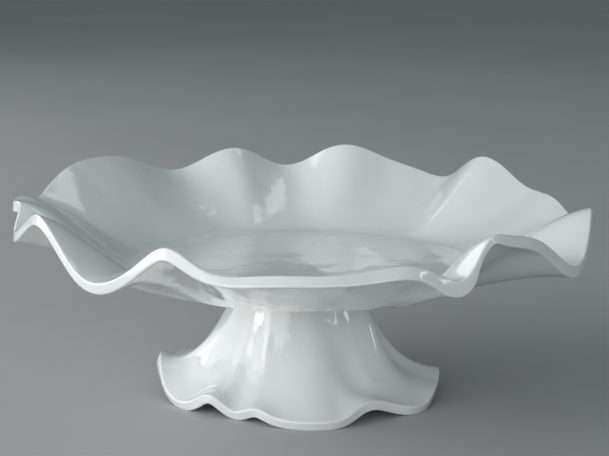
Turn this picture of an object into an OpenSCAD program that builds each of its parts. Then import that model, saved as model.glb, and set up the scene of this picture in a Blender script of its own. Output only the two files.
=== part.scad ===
// Ruffled pedestal cake stand. A wavy dish and a hollow wavy pedestal, both moulded from one thick sheet,
// meet at the pedestal's neck, where a screw from below holds them together.
// The origin is on the table under the middle of the stand, with +Z up and -Y towards the front.

/* [Dish] */
// Radius of the flat well that the cake stands on
well_r = 100; // [96:1:104]
// Height of the well above the table
well_z = 80; // [78:1:100]

/* [Pedestal] */
// Radius of the neck at its top
neck_r = 38; // [36:1:42]

/* [Sheet] */
// Thickness of the moulded sheet, away from its cut edges
sheet_t = 5.5; // [5:0.25:6]
// Radius of the rounded corners along a cut edge
corner_r = 1.1; // [0.6:0.1:1.6]

/* [Joint] */
// Thickness of the deck that closes the pedestal's neck
deck_t = 7; // [6:0.5:9]
// Thickness of the gasket between the dish and the deck
gasket_t = 1; // [0.5:0.25:1.5]
// Outer diameter of the gasket
gasket_d = 66; // [50:1:70]
// Diameter of the spigot under the dish, which centres the deck
spigot_d = 20; // [16:1:22]
// Diameter of the screw's thread
screw_d = 6; // [5:0.5:6]
// Length of the screw below its head
screw_l = 12; // [10:1:12]
// Outer diameter of the flat washer
washer_d = 30; // [28:1:34]

/* [Hidden] */
$fn = 64;

// The dish's rim at its crests, its troughs and the shoulders between them, anticlockwise from +X:
// azimuth, radius, rise above the well, slope of the lip in degrees, how far the lip and the wall's toe run
// on straight, thickness of the cut edge
RIM = [
    [6, 174, 21, 10, 30, 14, 7],
    [18, 171, 30, 25, 30, 14, 7],
    [31, 170, 34, 30, 30, 14, 6.8],
    [37, 169, 43, 35, 30, 14, 6.8],
    [43, 168, 47.5, 35, 30, 14, 6.8],
    [49, 170, 39.5, 35, 30, 14, 6.8],
    [54, 173, 30.3, 25, 30, 14, 6.8],
    [61, 173, 32.5, 30, 30, 14, 6.8],
    [69, 171, 39.5, 35, 30, 14, 6.8],
    [77, 168, 48, 35, 30, 14, 6.8],
    [84, 169, 44.5, 35, 30, 14, 6.8],
    [89.5, 172, 35.5, 30, 30, 14, 6.8],
    [95, 173, 33.7, 25, 30, 14, 6.8],
    [100, 171, 41, 35, 30, 14, 6.8],
    [105.5, 168, 46.5, 35, 30, 14, 6.8],
    [112, 170, 41.5, 35, 30, 14, 6.8],
    [118, 173, 33.7, 25, 30, 14, 6.8],
    [126, 171.5, 37.5, 30, 30, 14, 6.8],
    [134, 169.5, 46, 35, 30, 14, 6.8],
    [143, 169, 49, 35, 30, 14, 6.8],
    [153, 169.5, 45.5, 35, 30, 14, 6.8],
    [160, 169.5, 38, 30, 30, 14, 6.8],
    [166, 170, 32.5, 20, 30, 14, 6.8],
    [168.5, 170, 33.3, 12, 30, 15, 7],
    [174, 170, 36, 8, 28, 18, 7],
    [179.5, 167.4, 41.4, 6, 26, 20, 7.1],
    [185.5, 170.3, 41.4, 3, 26, 20, 7.1],
    [190.5, 166.6, 41.8, 4, 27, 18, 6.7],
    [197, 171.2, 31.3, 4, 30, 12, 6.8],
    [204, 171.5, 35.5, 12, 30, 14, 5.8],
    [211, 170, 46, 18, 28, 20, 6.4],
    [217, 170.5, 41.5, 12, 30, 18, 5.3],
    [224, 171, 25.5, 2, 38, 8, 5.3],
    [234, 174, 19.3, -8, 44, 3, 6.4],
    [240, 171.5, 29.5, 4, 38, 8, 5.6],
    [246, 170, 41.1, 16, 32, 12, 7.1],
    [253, 170.5, 32, 22, 30, 14, 6.4],
    [264, 173, 29.8, 28, 30, 14, 6.5],
    [277, 173, 30, 30, 30, 14, 6.5],
    [284, 171.5, 31.8, 30, 30, 15, 7.3],
    [290, 171, 32.4, 32, 30, 17, 7.8],
    [296, 171.5, 26, 20, 30, 18, 8.3],
    [300.5, 172, 23.3, 8, 30, 24, 7.8],
    [303, 171, 31, 10, 27, 27, 4.3],
    [305.8, 170, 41, 14, 25, 30, 4.4],
    [311, 169.5, 42.4, 16, 26, 28, 6.2],
    [317, 169.5, 38.8, 15, 30, 18, 6.8],
    [323, 170.5, 31.5, 12, 30, 14, 7.2],
    [332, 174.5, 15.6, 0, 30, 14, 7.2],
    [341, 175, 21.5, 0, 30, 14, 7.2],
    [351, 174.5, 38.2, 12, 30, 14, 7.2],
];

// The pedestal's rim: azimuth, radius, height above the table, slope down to it, how far the foot runs on
// straight, how far the neck leans out, thickness of the cut edge
FOOT = [
    [7, 85, 10.5, 10, 30, 2, 6.2],
    [20, 84, 5.6, 20, 25, 5, 6.2],
    [40, 84, 7, 14, 28, 3, 6.2],
    [56, 85, 5.3, 20, 25, 5, 6.2],
    [73, 84, 12, 5, 29, 2, 6.2],
    [90, 84, 5.3, 20, 25, 5, 6.2],
    [107, 85, 12, 5, 29, 2, 6.2],
    [124, 83, 5.3, 20, 25, 5, 6.2],
    [144, 84, 12, 5, 28, 2, 6.2],
    [161, 83, 16, -5, 22, 6, 6.2],
    [176, 84, 22.5, -28, 25, 3.5, 6.2],
    [189, 85, 20.5, -15, 21, 5.5, 6.2],
    [199, 85.5, 11.2, 8, 23, 6.8, 6.2],
    [208, 84.5, 5.9, 20, 25, 6, 6.2],
    [215, 82, 5.6, 20, 26, 5.6, 6.2],
    [221, 79.8, 9.6, 10, 27, 5.2, 6],
    [226, 79, 13, -3, 26, 5.2, 5.7],
    [231, 78.4, 12.8, -3, 26, 5.6, 5.7],
    [236, 76.6, 8.2, 10, 25, 6.2, 6],
    [241, 76, 5.7, 20, 24, 6.8, 6.2],
    [246.5, 76.7, 8, 15, 24, 7.2, 6.1],
    [252.5, 78.8, 9.8, 8, 26, 7, 6],
    [260, 82.5, 7.2, 15, 28, 5.8, 6.2],
    [268, 85.5, 5.7, 20, 28, 4.2, 6.2],
    [280, 88, 5.7, 20, 27, 3, 6.2],
    [288, 86, 6.7, 18, 26, 2, 6.2],
    [295, 82.5, 11, 8, 27, 2, 6.2],
    [302, 81.5, 13, -3, 27, 2.8, 6],
    [311, 83, 9.7, 12, 26, 4, 6.2],
    [320, 87.5, 5.6, 20, 27, 7, 6.2],
    [328, 89, 5.8, 18, 29, 13, 6.2],
    [338, 87.3, 9.4, 10, 35, 16, 6.2],
    [349, 85.8, 11.4, 6, 36, 3, 6.2],
    [357, 85.6, 14, 2, 28, 4, 6.2],
];

per_row = 4; // columns of the sheet for each row of a table
dish_steps = 12; // bands of the dish's upper surface
foot_steps = 11; // bands of the pedestal's outer surface
corner_steps = 2; // bands round each corner of a cut edge
neck_bands = 3; // bands at the neck that the deck's thickness takes up
neck_run = 32; // how far the neck runs down straight
neck_wave = 0.5; // how much the neck's run follows the height of the foot's rim
foot_mid = 9; // height of the foot's rim at which the neck has its own run

under_z = well_z - sheet_t;
deck_z = under_z - gasket_t;
roof_z = deck_z - deck_t;
spigot_h = gasket_t + deck_t - 0.5; // stops short of the washer, so that the screw clamps the deck
fit = 0.25; // radial clearance of the spigot and of the screw in its holes
insert_d = 9;
insert_h = 9;
washer_t = 1.6;
lock_d = 11;
lock_t = 1.5;
head_d = 12;
head_h = 3.4;
hex_af = 4;

// ---- curves ----

function unit(v) = v / norm(v);
function prev(i, n) = (i + n - 1) % n;
function next(i, n) = (i + 1) % n;
function row(t, i) = [for (k = [1 : len(t[i]) - 1]) t[i][k]];
function span(t, i) = (t[next(i, len(t))][0] - t[i][0] + 360) % 360;
function rise(t, i) = row(t, next(i, len(t))) - row(t, i);

// Slopes of the smooth closed curve through a table's rows: repeated averaging settles on the cubic spline
function slopes(t, passes = 24) =
    passes == 0 ? [for (i = [0 : len(t) - 1]) row(t, i) * 0] :
    let (m = slopes(t, passes - 1), n = len(t))
    [for (i = [0 : n - 1])
        let (p = prev(i, n), a = span(t, p), b = span(t, i))
        (3 * (rise(t, p) / a ^ 2 + rise(t, i) / b ^ 2) - m[p] / a - m[next(i, n)] / b) / (2 / a + 2 / b)];

// The curve itself, as columns that each hold an azimuth and the row's values there
function columns(t) =
    let (m = slopes(t), n = len(t))
    [for (i = [0 : n - 1], k = [0 : per_row - 1])
        let (s = k / per_row, w = span(t, i), j = next(i, n))
        concat(t[i][0] + w * s,
            row(t, i) * (1 + 2 * s) * (1 - s) ^ 2 + row(t, j) * s ^ 2 * (3 - 2 * s)
                + m[i] * w * s * (1 - s) ^ 2 + m[j] * w * s ^ 2 * (s - 1))];

function bezier(p, s) =
    p[0] * (1 - s) ^ 3 + p[1] * 3 * s * (1 - s) ^ 2 + p[2] * 3 * s ^ 2 * (1 - s) + p[3] * s ^ 3;

function turned(p, az) = [p[0] * cos(az), p[0] * sin(az), p[1]];

// ---- sheets ----

// Each column's section of a sheet's upper surface, from the middle to the rim
function dish_section(c) =
    let (end = [c[1], well_z + c[2]])
    [[well_r, well_z], [well_r + c[5], well_z], end - c[4] * [cos(c[3]), sin(c[3])], end];

function foot_section(c) =
    let (end = [c[1], c[2]], neck = deck_z - neck_run + neck_wave * (c[2] - foot_mid))
    [[neck_r, deck_z], [neck_r + c[5], neck], end - c[4] * [cos(c[3]), -sin(c[3])], end];

// Rings of points through the sections, which run in the planes of their azimuths
function rings(cols, sections, steps) =
    [for (i = [0 : steps])
        [for (j = [0 : len(cols) - 1]) turned(bezier(sections[j], i / steps), cols[j][0])]];

// Unit normals on the upper side of rings
function normals(r) =
    let (k = len(r) - 1, n = len(r[0]))
    [for (i = [0 : k]) [for (j = [0 : n - 1])
        unit(cross(r[min(i + 1, k)][j] - r[max(i - 1, 0)][j], r[i][next(j, n)] - r[i][prev(j, n)]))]];

// Rings round the cut edge, from the upper surface to the lower one, with both corners rounded
function edge_rings(ring, normal, cols) =
    let (
        n = len(ring),
        out = [for (j = [0 : n - 1]) unit(cross(ring[next(j, n)] - ring[prev(j, n)], normal[j]))],
        turn = [for (q = [1 : corner_steps]) 90 * q / corner_steps],
        upper = [for (q = turn) [sin(q), 1 - cos(q), 0] * corner_r],
        lower = [for (q = turn) [cos(q), sin(q) - 1, 0] * corner_r + [0, 0, 1]]
    )
    [for (e = concat(upper, [[corner_r, -corner_r, 1]], lower))
        [for (j = [0 : n - 1]) ring[j] + out[j] * e[0] - normal[j] * (e[1] + cols[j][6] * e[2])]];

// The lower surface from the rim inwards, below the upper one by a thickness that grows towards the rim
function under_rings(r, normal, cols, inner) =
    let (k = len(r) - 1)
    [for (i = [k - 1 : -1 : inner]) [for (j = [0 : len(cols) - 1])
        r[i][j] - normal[i][j] * (sheet_t + (cols[j][6] - sheet_t) * i / k)]];

// A closed sheet: its upper surface, its cut edge, its lower surface, and a level ring at radius r and
// height z
function sheet(cols, sections, steps, inner, r, z) =
    let (top = rings(cols, sections, steps), normal = normals(top))
    concat(top, edge_rings(top[steps], normal[steps], cols), under_rings(top, normal, cols, inner),
        [[for (c = cols) turned([r, z], c[0])]]);

// A solid from rings that each lie round the one before, with a flat lid on the first and the last
module ring_solid(r) {
    n = len(r[0]);
    last = (len(r) - 1) * n;
    bands = [for (i = [0 : len(r) - 2], j = [0 : n - 1]) [i * n + j, i * n + next(j, n)]];
    polyhedron(
        points = [for (ring = r) each ring],
        faces = concat(
            [[for (j = [n - 1 : -1 : 0]) j]],
            [for (b = bands) each [[b[0], b[1], b[0] + n], [b[1], b[1] + n, b[0] + n]]],
            [[for (j = [0 : n - 1]) last + j]]
        ),
        convexity = 8
    );
}

// ---- parts ----

// The ruffled dish, with a spigot under its well and a blind hole in it for the threaded insert
module plate() color("white") {
    cols = columns(RIM);
    sections = [for (c = cols) dish_section(c)];
    difference() {
        union() {
            ring_solid(sheet(cols, sections, dish_steps, 1, well_r, under_z));
            translate([0, 0, under_z - spigot_h]) cylinder(d = spigot_d, h = spigot_h + 1);
        }
        translate([0, 0, under_z - spigot_h - 1]) cylinder(d = insert_d, h = insert_h + 1);
    }
}

// The hollow ruffled pedestal: its deck has a hole that the dish's spigot fits, and its foot is ground flat
module pedestal() color("white") {
    cols = columns(FOOT);
    sections = [for (c = cols) foot_section(c)];
    difference() {
        ring_solid(sheet(cols, sections, foot_steps, neck_bands, neck_r - sheet_t, roof_z));
        translate([0, 0, roof_z - 1]) cylinder(d = spigot_d + 2 * fit, h = deck_t + 2);
        translate([0, 0, -10]) cylinder(r = 100, h = 10);
    }
}

module ring(outer, inner, h) difference() {
    cylinder(d = outer, h = h);
    translate([0, 0, -1]) cylinder(d = inner, h = h + 2);
}

// Soft ring that seats the dish on the deck
module neck_gasket() color("gainsboro")
    translate([0, 0, deck_z]) ring(gasket_d, spigot_d + 2 * fit, gasket_t);

// Brass bush moulded into the spigot
module threaded_insert() color("goldenrod")
    translate([0, 0, under_z - spigot_h]) ring(insert_d, screw_d, insert_h);

module flat_washer() color("silver")
    translate([0, 0, roof_z - washer_t]) ring(washer_d, screw_d + 2 * fit, washer_t);

// Split spring washer under the screw's head
module lock_washer() color("silver")
    translate([0, 0, roof_z - washer_t - lock_t]) difference() {
        ring(lock_d, screw_d + 2 * fit, lock_t);
        translate([0, -0.5, -1]) cube([lock_d, 1, lock_t + 2]);
    }

// Socket-head screw, head down, that pulls the dish onto the deck
module assembly_screw() color("silver")
    translate([0, 0, roof_z - washer_t - lock_t]) difference() {
        union() {
            cylinder(d = screw_d, h = screw_l);
            translate([0, 0, -head_h]) cylinder(d = head_d, h = head_h);
        }
        translate([0, 0, -head_h - 1]) cylinder(d = hex_af / cos(30), h = 3, $fn = 6);
    }

plate();
pedestal();
neck_gasket();
threaded_insert();
assembly_screw();
flat_washer();
lock_washer();
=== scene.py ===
"""Looks of a ruffled melamine cake stand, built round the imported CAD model."""

import math

import bpy
import numpy as np
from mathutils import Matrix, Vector


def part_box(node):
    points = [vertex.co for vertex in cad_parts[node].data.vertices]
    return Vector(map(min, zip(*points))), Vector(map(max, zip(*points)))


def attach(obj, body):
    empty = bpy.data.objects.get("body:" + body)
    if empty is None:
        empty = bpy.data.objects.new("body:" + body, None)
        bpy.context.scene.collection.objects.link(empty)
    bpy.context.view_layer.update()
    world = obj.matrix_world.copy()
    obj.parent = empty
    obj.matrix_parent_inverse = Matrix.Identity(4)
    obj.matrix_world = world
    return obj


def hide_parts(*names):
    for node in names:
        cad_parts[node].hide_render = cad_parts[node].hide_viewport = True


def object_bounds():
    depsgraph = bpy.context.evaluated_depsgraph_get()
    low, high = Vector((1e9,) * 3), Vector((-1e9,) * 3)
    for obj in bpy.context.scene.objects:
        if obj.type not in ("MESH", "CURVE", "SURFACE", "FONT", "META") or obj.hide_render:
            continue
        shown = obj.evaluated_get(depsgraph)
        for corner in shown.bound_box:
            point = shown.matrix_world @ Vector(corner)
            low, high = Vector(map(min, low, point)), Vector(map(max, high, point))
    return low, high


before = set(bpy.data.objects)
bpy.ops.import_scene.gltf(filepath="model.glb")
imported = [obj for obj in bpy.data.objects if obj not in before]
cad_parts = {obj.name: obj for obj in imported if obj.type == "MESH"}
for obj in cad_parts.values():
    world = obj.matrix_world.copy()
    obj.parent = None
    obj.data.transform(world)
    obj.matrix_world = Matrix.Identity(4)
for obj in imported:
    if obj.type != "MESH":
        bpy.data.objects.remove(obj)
CAD_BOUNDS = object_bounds()

MM = 0.001


# ---- sizes, in millimetres and degrees, as in the CAD model ----

# The dish's rim: azimuth, radius, rise above the well, slope of the lip, how far the lip and the wall's toe
# run on straight, thickness of the cut edge
RIM = [
    [6, 174, 21, 10, 30, 14, 7],
    [18, 171, 30, 25, 30, 14, 7],
    [31, 170, 34, 30, 30, 14, 6.8],
    [37, 169, 43, 35, 30, 14, 6.8],
    [43, 168, 47.5, 35, 30, 14, 6.8],
    [49, 170, 39.5, 35, 30, 14, 6.8],
    [54, 173, 30.3, 25, 30, 14, 6.8],
    [61, 173, 32.5, 30, 30, 14, 6.8],
    [69, 171, 39.5, 35, 30, 14, 6.8],
    [77, 168, 48, 35, 30, 14, 6.8],
    [84, 169, 44.5, 35, 30, 14, 6.8],
    [89.5, 172, 35.5, 30, 30, 14, 6.8],
    [95, 173, 33.7, 25, 30, 14, 6.8],
    [100, 171, 41, 35, 30, 14, 6.8],
    [105.5, 168, 46.5, 35, 30, 14, 6.8],
    [112, 170, 41.5, 35, 30, 14, 6.8],
    [118, 173, 33.7, 25, 30, 14, 6.8],
    [126, 171.5, 37.5, 30, 30, 14, 6.8],
    [134, 169.5, 46, 35, 30, 14, 6.8],
    [143, 169, 49, 35, 30, 14, 6.8],
    [153, 169.5, 45.5, 35, 30, 14, 6.8],
    [160, 169.5, 38, 30, 30, 14, 6.8],
    [166, 170, 32.5, 20, 30, 14, 6.8],
    [168.5, 170, 33.3, 12, 30, 15, 7],
    [174, 170, 36, 8, 28, 18, 7],
    [179.5, 167.4, 41.4, 6, 26, 20, 7.1],
    [185.5, 170.3, 41.4, 3, 26, 20, 7.1],
    [190.5, 166.6, 41.8, 4, 27, 18, 6.7],
    [197, 171.2, 31.3, 4, 30, 12, 6.8],
    [204, 171.5, 35.5, 12, 30, 14, 5.8],
    [211, 170, 46, 18, 28, 20, 6.4],
    [217, 170.5, 41.5, 12, 30, 18, 5.3],
    [224, 171, 25.5, 2, 38, 8, 5.3],
    [234, 174, 19.3, -8, 44, 3, 6.4],
    [240, 171.5, 29.5, 4, 38, 8, 5.6],
    [246, 170, 41.1, 16, 32, 12, 7.1],
    [253, 170.5, 32, 22, 30, 14, 6.4],
    [264, 173, 29.8, 28, 30, 14, 6.5],
    [277, 173, 30, 30, 30, 14, 6.5],
    [284, 171.5, 31.8, 30, 30, 15, 7.3],
    [290, 171, 32.4, 32, 30, 17, 7.8],
    [296, 171.5, 26, 20, 30, 18, 8.3],
    [300.5, 172, 23.3, 8, 30, 24, 7.8],
    [303, 171, 31, 10, 27, 27, 4.3],
    [305.8, 170, 41, 14, 25, 30, 4.4],
    [311, 169.5, 42.4, 16, 26, 28, 6.2],
    [317, 169.5, 38.8, 15, 30, 18, 6.8],
    [323, 170.5, 31.5, 12, 30, 14, 7.2],
    [332, 174.5, 15.6, 0, 30, 14, 7.2],
    [341, 175, 21.5, 0, 30, 14, 7.2],
    [351, 174.5, 38.2, 12, 30, 14, 7.2],
]

# The pedestal's rim: azimuth, radius, height above the table, slope down to it, how far the foot runs on
# straight, how far the neck leans out, thickness of the cut edge
FOOT = [
    [7, 85, 10.5, 10, 30, 2, 6.2],
    [20, 84, 5.6, 20, 25, 5, 6.2],
    [40, 84, 7, 14, 28, 3, 6.2],
    [56, 85, 5.3, 20, 25, 5, 6.2],
    [73, 84, 12, 5, 29, 2, 6.2],
    [90, 84, 5.3, 20, 25, 5, 6.2],
    [107, 85, 12, 5, 29, 2, 6.2],
    [124, 83, 5.3, 20, 25, 5, 6.2],
    [144, 84, 12, 5, 28, 2, 6.2],
    [161, 83, 16, -5, 22, 6, 6.2],
    [176, 84, 22.5, -28, 25, 3.5, 6.2],
    [189, 85, 20.5, -15, 21, 5.5, 6.2],
    [199, 85.5, 11.2, 8, 23, 6.8, 6.2],
    [208, 84.5, 5.9, 20, 25, 6, 6.2],
    [215, 82, 5.6, 20, 26, 5.6, 6.2],
    [221, 79.8, 9.6, 10, 27, 5.2, 6],
    [226, 79, 13, -3, 26, 5.2, 5.7],
    [231, 78.4, 12.8, -3, 26, 5.6, 5.7],
    [236, 76.6, 8.2, 10, 25, 6.2, 6],
    [241, 76, 5.7, 20, 24, 6.8, 6.2],
    [246.5, 76.7, 8, 15, 24, 7.2, 6.1],
    [252.5, 78.8, 9.8, 8, 26, 7, 6],
    [260, 82.5, 7.2, 15, 28, 5.8, 6.2],
    [268, 85.5, 5.7, 20, 28, 4.2, 6.2],
    [280, 88, 5.7, 20, 27, 3, 6.2],
    [288, 86, 6.7, 18, 26, 2, 6.2],
    [295, 82.5, 11, 8, 27, 2, 6.2],
    [302, 81.5, 13, -3, 27, 2.8, 6],
    [311, 83, 9.7, 12, 26, 4, 6.2],
    [320, 87.5, 5.6, 20, 27, 7, 6.2],
    [328, 89, 5.8, 18, 29, 13, 6.2],
    [338, 87.3, 9.4, 10, 35, 16, 6.2],
    [349, 85.8, 11.4, 6, 36, 3, 6.2],
    [357, 85.6, 14, 2, 28, 4, 6.2],
]

WELL_R = 100.0  # the flat well
SHEET_T = 5.5  # the sheets, away from their cut edges
CORNER_R = 1.1  # both corners of a cut edge
NECK_R = 38.0  # the pedestal's deck
NECK_RUN = 32.0  # how far the neck runs on down from the deck
NECK_WAVE = 0.5  # how much of the foot's rise and fall the neck takes up
FOOT_MID = 9.0  # the foot's usual height
SPIGOT_R = 10.0  # the spigot under the dish
FIT = 0.25  # clearance of the spigot in the deck
BEVEL = 0.3  # small flats on the spigot's and the holes' corners

# Heights and radii that the CAD model gives
GASKET = [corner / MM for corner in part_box("neck_gasket")]
INSERT = [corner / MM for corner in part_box("threaded_insert")]
ROOF_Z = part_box("flat_washer")[1].z / MM
DECK_Z = GASKET[0].z
UNDER_Z = GASKET[1].z
WELL_Z = UNDER_Z + SHEET_T
SPIGOT_Z = INSERT[0].z
BORE_Z = INSERT[1].z
BORE_R = INSERT[1].x

# ---- fineness of the meshes ----

COLUMNS_PER_ROW = 8
CORNER_STEPS = 6
EDGE_SHARES = (0.25, 0.5, 0.75)  # rings across the flat of a cut edge
WALL_STEPS = 48
SKIRT_STEPS = 44
SKIRT_INNER = 3 / 11  # where the skirt's lower surface stops, for the deck to take over
EVEN_PASSES = 24  # evens out the skirt's offset, which folds in the tight flutes without it
SHARP_ANGLE = 35
WELL_RINGS = (20, 45, 70, 85, 94)
UNDER_RINGS = (94, 70, 40)

# ---- looks: noise in waves a metre and depths in metres ----

CLOUD_SCALE = 14
SPECK_SCALE = 900
SMEAR_SCALE = 40
GRIND_SCALE = 260
WAVE_SCALE = 30.0
WAVE_DEPTH = 0.0019
SKIN_SCALE = 420
SKIN_DEPTH = 0.000012
METAL_CLOUD_SCALE = 220
METAL_SMEAR_SCALE = 90
TOOL_MARK_DEPTH = 0.00002
RUBBER_CLOUD_SCALE = 120
RUBBER_SMEAR_SCALE = 300
RUBBER_GRAIN_SCALE = 1500
RUBBER_GRAIN_DEPTH = 0.00003
FLOOR_CLOUD_SCALE = 3

# ---- studio, in metres, degrees and watts ----

# Each light's name, azimuth, elevation, distance, width, height and power
LIGHTS = [
    ("left", 186, 26, 2.0, 2.6, 2.0, 30),
    ("left_front", 232, 14, 2.2, 2.4, 1.4, 20),
    ("left_back", 137, 26, 2.1, 1.2, 1.0, 4.5),
    ("left_pane", 199, 7, 2.4, 0.3, 0.22, 0.9),
    ("front", 288, 14, 3.0, 1.4, 0.9, 13),
    ("right_front_pane", 325, 10, 3.0, 0.08, 0.6, 0.6),
    ("right_pane", 338, 16, 2.4, 0.1, 0.5, 0.8),
    ("right_back_pane_1", 359, 24, 2.4, 0.18, 0.4, 0.9),
    ("right_back_pane_2", 340, 29, 2.4, 0.1, 0.22, 0.4),
    ("right_back_high", 60, 60, 2.0, 0.5, 0.3, 0.55),
]
LIGHTS_AIM_Z = 0.08
SURROUND_COLOUR = (0.80, 0.95, 0.96, 1)
SURROUND_STRENGTH = 0.2
CAMERA_PLACE = (0.0034, -1.0116, 0.2987)
CAMERA_DIP = 11.05
CAMERA_LENS = 100
CAMERA_SENSOR = 36
CAMERA_NEAR = 0.01
FLOOR_HALF = 12.0


# ---- sheets ----

def spline_slopes(values, span):
    """Slopes at the rows of a table, for the closed cubic spline through them."""
    n = len(span)
    before = np.roll(span, 1)
    rise = np.roll(values, -1, 0) - values
    matrix = np.diag(2 / before + 2 / span)
    for i in range(n):
        matrix[i, i - 1] = 1 / before[i]
        matrix[i, (i + 1) % n] = 1 / span[i]
    drive = np.roll(rise, 1, 0) / before[:, None] ** 2 + rise / span[:, None] ** 2
    return np.linalg.solve(matrix, 3 * drive)


def columns(table):
    """Azimuths and the other values of a table, on the closed cubic spline through its rows."""
    rows = np.array(table, float)
    az = rows[:, 0]
    values = rows[:, 1:]
    n = len(az)
    span = (np.roll(az, -1) - az) % 360
    slope = spline_slopes(values, span)
    angles = []
    points = []
    for i in range(n):
        j = (i + 1) % n
        for s in np.arange(COLUMNS_PER_ROW) / COLUMNS_PER_ROW:
            angles.append(az[i] + span[i] * s)
            ends = values[i] * (1 + 2 * s) * (1 - s) ** 2 + values[j] * s ** 2 * (3 - 2 * s)
            bends = slope[i] * s * (1 - s) ** 2 + slope[j] * s ** 2 * (s - 1)
            points.append(ends + bends * span[i])
    return np.radians(angles), np.array(points)


def unpack(table):
    """A table's azimuths in radians, and its six values with the slope in radians."""
    az, values = columns(table)
    values[:, 2] = np.radians(values[:, 2])
    return az, values.T


def turned(az, r, z):
    """Points at azimuths, radii and heights, as an array of rows."""
    r = np.broadcast_to(r, az.shape)
    return np.stack([r * np.cos(az), r * np.sin(az), np.broadcast_to(z, az.shape)], -1)


def section_rings(az, control, shares):
    """Rings through the columns' cubic Bezier sections, at shares of their length."""
    rings = []
    for s in shares:
        weights = [(1 - s) ** 3, 3 * s * (1 - s) ** 2, 3 * s ** 2 * (1 - s), s ** 3]
        r = sum(w * p[0] for w, p in zip(weights, control))
        z = sum(w * p[1] for w, p in zip(weights, control))
        rings.append(turned(az, r, z))
    return np.array(rings)


def unit(v):
    """Vectors at a length of one."""
    return v / np.linalg.norm(v, axis=-1, keepdims=True)


def around(ring):
    """The way along a ring at each of its points."""
    return np.roll(ring, -1, -2) - np.roll(ring, 1, -2)


def ring_normals(rings):
    """Unit normals on the upper side of rings."""
    outward = np.gradient(rings, axis=0)
    return unit(np.cross(outward, around(rings)))


def evened(normal, passes):
    """Normals evened out along their rings."""
    for _ in range(passes):
        normal = (np.roll(normal, 1, -2) + 2 * normal + np.roll(normal, -1, -2)) / 4
    return unit(normal)


def edge_rings(ring, normal, thickness):
    """Rings round the cut edge, from the upper surface to the lower one, with both corners rounded."""
    out = unit(np.cross(around(ring), normal))
    turn = np.radians(90) * np.arange(1, CORNER_STEPS + 1) / CORNER_STEPS
    upper = [(CORNER_R * math.sin(q), CORNER_R * (1 - math.cos(q))) for q in turn]
    rings = [ring + out * along - normal * down for along, down in upper]
    for share in EDGE_SHARES:
        depth = CORNER_R + (thickness - 2 * CORNER_R) * share
        rings.append(ring + out * CORNER_R - normal * depth)
    lower = [(CORNER_R, CORNER_R)]
    lower += [(CORNER_R * math.cos(q), CORNER_R * (1 - math.sin(q))) for q in turn]
    rings += [ring + out * along - normal * (thickness - up) for along, up in lower]
    return rings


def sheet(az, control, edge, steps, inner, passes=0):
    """Rings of a sheet: its upper surface outwards, its cut edge, and its lower surface back in.

    The lower surface stops at the share inner. It's offset along normals that are evened out by passes,
    and that come back to the upper surface's own normals at the cut edge.
    """
    shares = np.linspace(0, 1, steps + 1)
    top = section_rings(az, control, shares)
    normal = ring_normals(top)
    rings = list(top) + edge_rings(top[-1], normal[-1], edge[:, None])
    first_cut = len(top)
    last_cut = len(rings) - 1
    even = evened(normal, passes)
    for i in range(steps - 1, -1, -1):
        if shares[i] >= inner:
            thickness = SHEET_T + (edge - SHEET_T) * shares[i]
            blend = min(1, 2 * (1 - shares[i]))
            way = unit(normal[i] * (1 - blend) + even[i] * blend)
            rings.append(top[i] - way * thickness[:, None])
    return rings, (first_cut, last_cut)


def turned_profile(az, profile):
    """Level rings through (radius, height, bevel) points, with a small flat on each bevelled corner."""
    points = [np.array(p[:2]) for p in profile]
    flat = []
    for i, (r, z, bevel) in enumerate(profile):
        if bevel == 0:
            flat.append((r, z))
            continue
        for j in (i - 1, i + 1):
            way = points[j] - points[i]
            flat.append(points[i] + way / np.linalg.norm(way) * bevel)
    return [turned(az, r, z) for r, z in flat]


# ---- meshes ----

def band_faces(n, count, closed):
    """Faces between rings of n points each, and from the last ring to the first if closed."""
    faces = []
    for a in range(count if closed else count - 1):
        b = (a + 1) % count
        for j in range(n):
            k = (j + 1) % n
            faces.append((a * n + j, b * n + j, b * n + k, a * n + k))
    return faces


def cap_faces(n, count):
    """Faces from the first and the last ring to the two middle points that come after all the rings."""
    last = (count - 1) * n
    faces = []
    for j in range(n):
        k = (j + 1) % n
        faces.append((count * n, j, k))
        faces.append((last + k, last + j, count * n + 1))
    return faces


def mark_cut(mesh, start, stop):
    """Marks a run of points as the cut edge, for the material."""
    mark = mesh.attributes.new("cut_edge", "FLOAT", "POINT")
    on_cut = np.zeros(len(mesh.vertices), np.float32)
    on_cut[start:stop] = 1
    mark.data.foreach_set("value", on_cut)


def linked(name, data):
    """A new object in the scene."""
    piece = bpy.data.objects.new(name, data)
    bpy.context.scene.collection.objects.link(piece)
    return piece


def ring_mesh(name, rings, closed, cut):
    """A smooth mesh object from rings.

    If closed, the last ring joins the first; otherwise both ends close to a point. The rings between the
    two numbers in cut are the cut edge.
    """
    n = len(rings[0])
    count = len(rings)
    points = list(rings)
    faces = band_faces(n, count, closed)
    if not closed:
        points.append(np.array([rings[0].mean(0), rings[-1].mean(0)]))
        faces += cap_faces(n, count)
    vertices = np.concatenate(points) * MM
    # The smooth waves crest up to 0.1 mm beyond the faceted CAD's, so they are held to its box
    vertices = np.clip(vertices, CAD_BOUNDS[0], CAD_BOUNDS[1])
    mesh = bpy.data.meshes.new(name)
    mesh.from_pydata(vertices.tolist(), [], faces)
    mesh.validate()
    mark_cut(mesh, cut[0] * n, (cut[1] + 1) * n)
    mesh.polygons.foreach_set("use_smooth", [True] * len(mesh.polygons))
    mesh.set_sharp_from_angle(angle=math.radians(SHARP_ANGLE))
    mesh.update()
    return linked(name, mesh)


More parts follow.
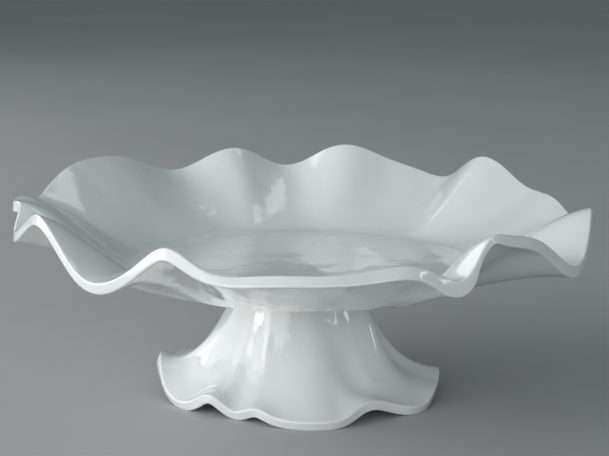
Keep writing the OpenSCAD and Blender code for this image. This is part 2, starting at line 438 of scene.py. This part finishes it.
def dish():
    """The ruffled dish, with the spigot and the insert's bore under its well."""
    az, (radius, rise, slope, lip, toe, edge) = unpack(RIM)
    height = WELL_Z + rise
    control = [
        (WELL_R, WELL_Z),
        (WELL_R + toe, WELL_Z),
        (radius - lip * np.cos(slope), height - lip * np.sin(slope)),
        (radius, height),
    ]
    skin, cut = sheet(az, control, edge, WALL_STEPS, 0)
    well = [turned(az, r, WELL_Z) for r in WELL_RINGS]
    below = turned_profile(az, [(r, UNDER_Z, 0) for r in UNDER_RINGS] + [
        (SPIGOT_R, UNDER_Z, BEVEL),
        (SPIGOT_R, SPIGOT_Z, BEVEL),
        (BORE_R, SPIGOT_Z, BEVEL),
        (BORE_R, BORE_Z, BEVEL),
        (BORE_R / 2, BORE_Z, 0),
    ])
    cut = (cut[0] + len(well), cut[1] + len(well))
    return ring_mesh("plate_moulding", well + skin + below, False, cut)


def stand():
    """The hollow ruffled pedestal: its deck has the spigot's hole, and its foot is ground flat."""
    az, (radius, height, slope, run, lean, edge) = unpack(FOOT)
    bend = DECK_Z - NECK_RUN + NECK_WAVE * (height - FOOT_MID)
    control = [
        (NECK_R, DECK_Z),
        (NECK_R + lean, bend),
        (radius - run * np.cos(slope), height + run * np.sin(slope)),
        (radius, height),
    ]
    skin, cut = sheet(az, control, edge, SKIRT_STEPS, SKIRT_INNER, EVEN_PASSES)
    hole = SPIGOT_R + FIT
    roof_r = NECK_R - SHEET_T
    below = turned_profile(az, [
        (roof_r + 1, ROOF_Z, 0),
        (roof_r - 1, ROOF_Z, 0),
        (2 * SPIGOT_R, ROOF_Z, 0),
        (hole, ROOF_Z, BEVEL),
        (hole, DECK_Z, BEVEL),
        (2 * SPIGOT_R, DECK_Z, 0),
        (3 * SPIGOT_R, DECK_Z, 0),
        (NECK_R - 0.5, DECK_Z, 0),
    ])
    rings = [np.stack([r[:, 0], r[:, 1], np.maximum(r[:, 2], 0)], -1) for r in skin + below]
    return ring_mesh("pedestal_moulding", rings, True, cut)


# ---- materials ----

class Nodes:
    """A material's node tree, with short calls to add and join nodes."""

    def __init__(self, name):
        self.material = bpy.data.materials.new(name)
        self.material.use_nodes = True
        self.tree = self.material.node_tree
        self.shader = self.tree.nodes["Principled BSDF"]
        self.place = self.add("ShaderNodeTexCoord").outputs["Object"]

    def add(self, kind, **inputs):
        """A new node, with values for its inputs."""
        node = self.tree.nodes.new(kind)
        for key, value in inputs.items():
            node.inputs[key.replace("_", " ")].default_value = value
        return node

    def join(self, output, node, key):
        """A link to one of a node's inputs."""
        self.tree.links.new(output, node.inputs[key])

    def noise(self, scale, detail=2.0, roughness=0.5):
        """Smooth noise over the object's own coordinates, in waves of about 1 / scale metres."""
        node = self.add("ShaderNodeTexNoise", Scale=scale, Detail=detail, Roughness=roughness)
        self.join(self.place, node, "Vector")
        return node.outputs["Fac"]

    def spread(self, value, low, high, from_low=0.3, from_high=0.7):
        """A value between from_low and from_high, taken to between low and high."""
        node = self.add("ShaderNodeMapRange")
        node.inputs["From Min"].default_value = from_low
        node.inputs["From Max"].default_value = from_high
        node.inputs["To Min"].default_value = low
        node.inputs["To Max"].default_value = high
        self.join(value, node, "Value")
        return node.outputs["Result"]

    def mix(self, share, first, second):
        """One colour to another by a share; each is a colour or another node's output."""
        node = self.tree.nodes.new("ShaderNodeMix")
        node.data_type = "RGBA"
        self.join(share, node, "Factor")
        for key, colour in (("A", first), ("B", second)):
            socket = [s for s in node.inputs if s.name == key and s.type == "RGBA"][0]
            if isinstance(colour, tuple):
                socket.default_value = (*colour, 1)
            else:
                self.tree.links.new(colour, socket)
        return [s for s in node.outputs if s.type == "RGBA"][0]

    def math(self, operation, first, second):
        """A sum or product of two nodes' outputs."""
        node = self.tree.nodes.new("ShaderNodeMath")
        node.operation = operation
        for socket, value in zip(node.inputs, (first, second)):
            self.tree.links.new(value, socket)
        return node.outputs[0]

    def bump(self, height, distance, before=None):
        """Bump of a depth in metres, over an earlier bump's normal."""
        node = self.add("ShaderNodeBump", Distance=distance, Strength=1.0)
        self.join(height, node, "Height")
        if before is not None:
            self.join(before, node, "Normal")
        return node.outputs["Normal"]

    def cloudy(self, scale, detail, dark, light):
        """A colour that varies smoothly between two."""
        return self.mix(self.spread(self.noise(scale, detail), 0, 1), dark, light)


def melamine():
    """Glossy cool white, slightly uneven from the mould, with a ground and polished cut edge."""
    m = Nodes("melamine_gloss")
    shader = m.shader
    cloud = m.cloudy(CLOUD_SCALE, 3, (0.77, 0.80, 0.79), (0.81, 0.835, 0.825))
    speck = m.spread(m.noise(SPECK_SCALE, 1), 0, 1, from_low=0.70, from_high=0.78)
    m.join(m.mix(speck, cloud, (0.72, 0.74, 0.73)), shader, "Base Color")
    mark = m.add("ShaderNodeAttribute")
    mark.attribute_name = "cut_edge"
    smear = m.spread(m.noise(SMEAR_SCALE, 4, 0.6), 0.015, 0.045)
    grind = m.spread(m.noise(GRIND_SCALE, 3), 0.04, 0.12)
    ground = m.math("MULTIPLY", mark.outputs["Fac"], grind)
    m.join(m.math("ADD", smear, ground), shader, "Roughness")
    wavy = m.bump(m.noise(WAVE_SCALE, 2.0, 0.45), WAVE_DEPTH)
    m.join(m.bump(m.noise(SKIN_SCALE, 2), SKIN_DEPTH, wavy), shader, "Normal")
    shader.inputs["IOR"].default_value = 1.54
    shader.inputs["Coat Weight"].default_value = 0.6
    shader.inputs["Coat Roughness"].default_value = 0.015
    shader.inputs["Coat IOR"].default_value = 1.5
    return m.material


def metal(name, dark, light, rough, lines):
    """Turned metal: a colour that varies a little, and fine tool marks round the axis."""
    m = Nodes(name)
    shader = m.shader
    m.join(m.cloudy(METAL_CLOUD_SCALE, 3, dark, light), shader, "Base Color")
    smear = m.spread(m.noise(METAL_SMEAR_SCALE, 4), rough * 0.7, rough * 1.3)
    m.join(smear, shader, "Roughness")
    wave = m.add("ShaderNodeTexWave", Scale=lines, Distortion=0.4)
    wave.wave_type = "RINGS"
    wave.rings_direction = "Z"
    m.join(m.place, wave, "Vector")
    m.join(m.bump(wave.outputs["Fac"], TOOL_MARK_DEPTH), shader, "Normal")
    shader.inputs["Metallic"].default_value = 1.0
    return m.material


def silicone():
    """Soft translucent white rubber with a fine matte grain."""
    m = Nodes("silicone_matte")
    shader = m.shader
    cloud = m.cloudy(RUBBER_CLOUD_SCALE, 3, (0.62, 0.64, 0.63), (0.70, 0.72, 0.71))
    m.join(cloud, shader, "Base Color")
    m.join(m.spread(m.noise(RUBBER_SMEAR_SCALE, 2), 0.45, 0.6), shader, "Roughness")
    m.join(m.bump(m.noise(RUBBER_GRAIN_SCALE, 2), RUBBER_GRAIN_DEPTH), shader, "Normal")
    shader.inputs["Subsurface Weight"].default_value = 0.15
    shader.inputs["Subsurface Radius"].default_value = (0.002, 0.002, 0.002)
    return m.material


def pale_floor():
    """Plain pale grey that varies very slightly."""
    m = Nodes("pale_floor")
    cloud = m.cloudy(FLOOR_CLOUD_SCALE, 3, (0.40, 0.405, 0.41), (0.44, 0.445, 0.45))
    m.join(cloud, m.shader, "Base Color")
    m.shader.inputs["Roughness"].default_value = 0.6
    return m.material


def paint(piece, material):
    """Gives a piece one material."""
    piece.data.materials.clear()
    piece.data.materials.append(material)


# ---- the scene ----

def mouldings():
    """The dish and the pedestal, made finer than the CAD model's and put in their places."""
    gloss = melamine()
    for build, node in ((dish, "plate"), (stand, "pedestal")):
        moulding = build()
        paint(moulding, gloss)
        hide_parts(node)
        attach(moulding, "root")


def joint():
    """Materials of the CAD model's own pieces, which join the dish to the pedestal."""
    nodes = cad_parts
    steel = metal("zinc_plate", (0.50, 0.51, 0.53), (0.62, 0.63, 0.64), rough=0.25, lines=700)
    for node in ("assembly_screw", "flat_washer", "lock_washer"):
        paint(nodes[node], steel)
    brass = metal("turned_brass", (0.62, 0.44, 0.18), (0.75, 0.56, 0.26), rough=0.22, lines=900)
    paint(nodes["threaded_insert"], brass)
    paint(nodes["neck_gasket"], silicone())


def floor():
    """A plain pale floor."""
    mesh = bpy.data.meshes.new("floor")
    corners = [(-1, -1), (1, -1), (1, 1), (-1, 1)]
    mesh.from_pydata([(x * FLOOR_HALF, y * FLOOR_HALF, 0) for x, y in corners], [], [(0, 1, 2, 3)])
    piece = linked("floor", mesh)
    paint(piece, pale_floor())


def softbox(name, azimuth, elevation, distance, width, height, power):
    """A rectangular light that faces the stand."""
    az = math.radians(azimuth)
    up = math.radians(elevation)
    way = Vector((math.cos(az) * math.cos(up), math.sin(az) * math.cos(up), math.sin(up)))
    light = bpy.data.lights.new(name, "AREA")
    light.shape = "RECTANGLE"
    light.size = width
    light.size_y = height
    light.energy = power
    holder = linked(name, light)
    holder.location = Vector((0, 0, LIGHTS_AIM_Z)) + way * distance
    holder.rotation_euler = way.to_track_quat("Z", "Y").to_euler()


def studio():
    """Large soft lights on the left and smaller panes round the stand, in a dim surround."""
    for light in LIGHTS:
        softbox(*light)
    world = bpy.data.worlds.new("surround")
    bpy.context.scene.world = world
    world.use_nodes = True
    surround = world.node_tree.nodes["Background"]
    surround.inputs["Color"].default_value = SURROUND_COLOUR
    surround.inputs["Strength"].default_value = SURROUND_STRENGTH
    bpy.context.scene.view_settings.view_transform = "Standard"


def camera():
    """A long lens from a little above, at the front."""
    data = bpy.data.cameras.new("camera")
    data.lens = CAMERA_LENS
    data.sensor_width = CAMERA_SENSOR
    data.clip_start = CAMERA_NEAR
    holder = linked("camera", data)
    holder.location = CAMERA_PLACE
    holder.rotation_euler = (math.radians(90 - CAMERA_DIP), 0, 0)
    bpy.context.scene.camera = holder


camera()
mouldings()
joint()
floor()
studio()
